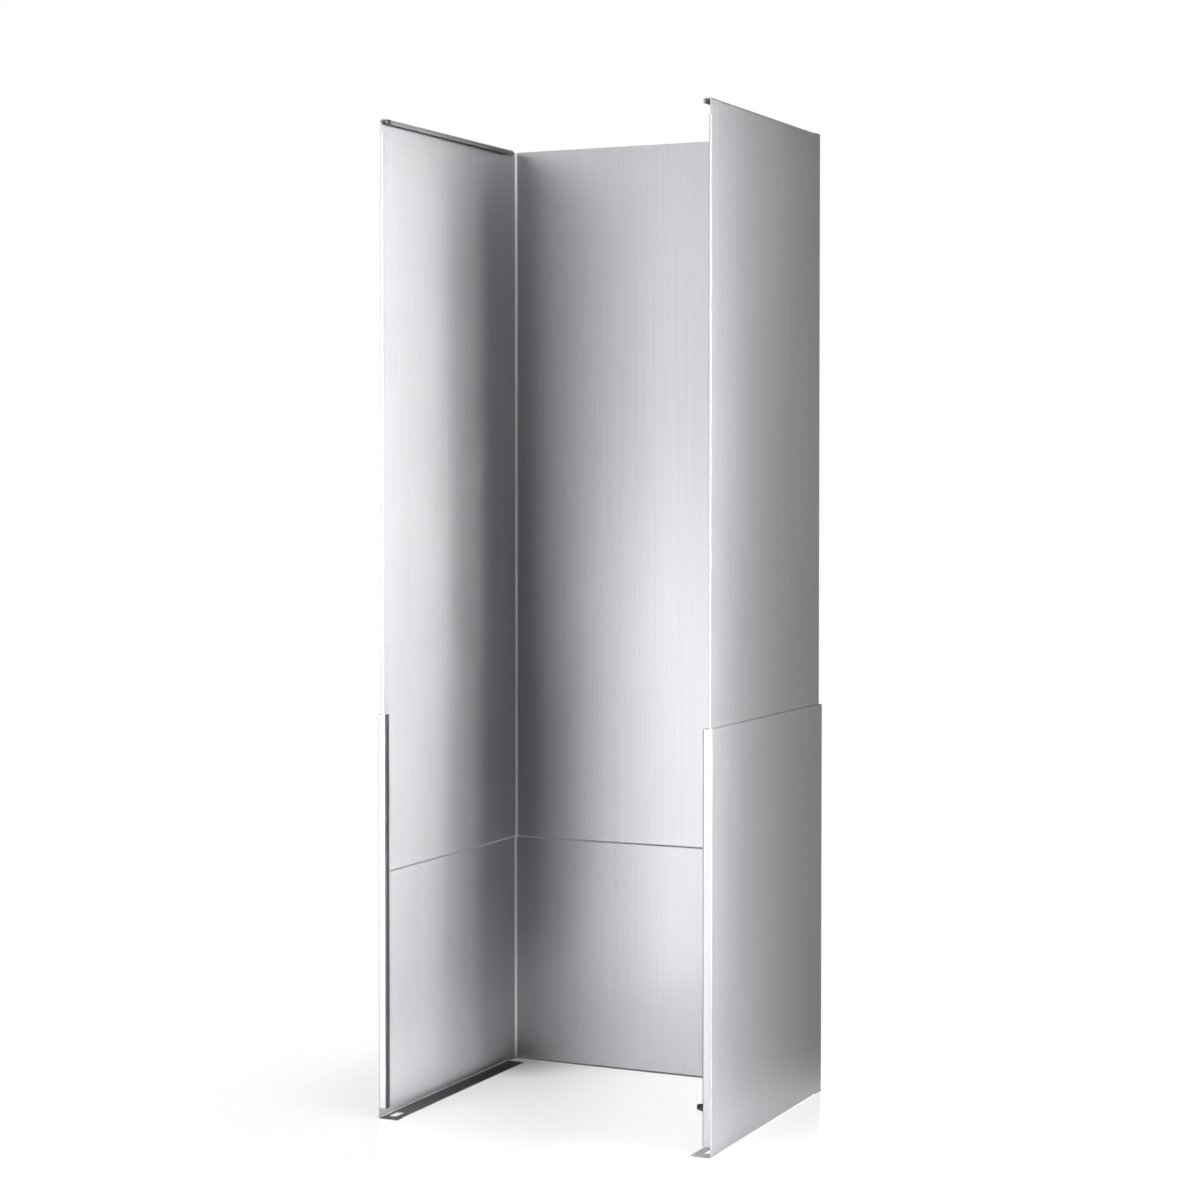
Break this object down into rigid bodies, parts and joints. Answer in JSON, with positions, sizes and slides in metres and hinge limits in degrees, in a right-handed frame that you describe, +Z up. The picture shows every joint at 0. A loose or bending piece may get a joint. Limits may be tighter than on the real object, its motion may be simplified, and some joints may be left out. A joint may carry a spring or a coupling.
{
  "type": "telescoping duct cover",
  "caption": "Telescoping three-sided duct cover for a wall-mounted range hood, folded from brushed stainless sheet, open to the wall, the top and the bottom.",
  "frame": {"origin": "middle of the lower cover's outline, on the surface that it stands on", "axes": "+Z up along the slide, +Y from the wall plane towards the front panel, +X across the width, to the right for someone who stands at the wall and looks at the front panel from inside"},
  "size_m": [0.32, 0.268, 0.885],
  "materials": {
    "brushed_stainless": "fine brushed, grain running vertically",
    "black_rubber": "matt moulded rubber",
    "glide_felt": "pressed felt, self-adhesive"
  },
  "bodies": {
    "lower": {"lower_cover": "brushed_stainless", "stop_plug": "black_rubber", "glide_strip_left": "glide_felt", "glide_strip_right": "glide_felt", "glide_strip_front": "glide_felt"},
    "upper": {"upper_cover": "brushed_stainless", "glide_pad_left_wall": "glide_felt", "glide_pad_left_corner": "glide_felt", "glide_pad_right_wall": "glide_felt", "glide_pad_right_corner": "glide_felt", "glide_pad_front_left": "glide_felt", "glide_pad_front_right": "glide_felt"}
  },
  "joints": [
    {"name": "upper_slide", "type": "slide", "parent": "lower", "child": "upper", "axis": [0, 0, 1], "range_m": [-0.1735, 0.092]}
  ]
}
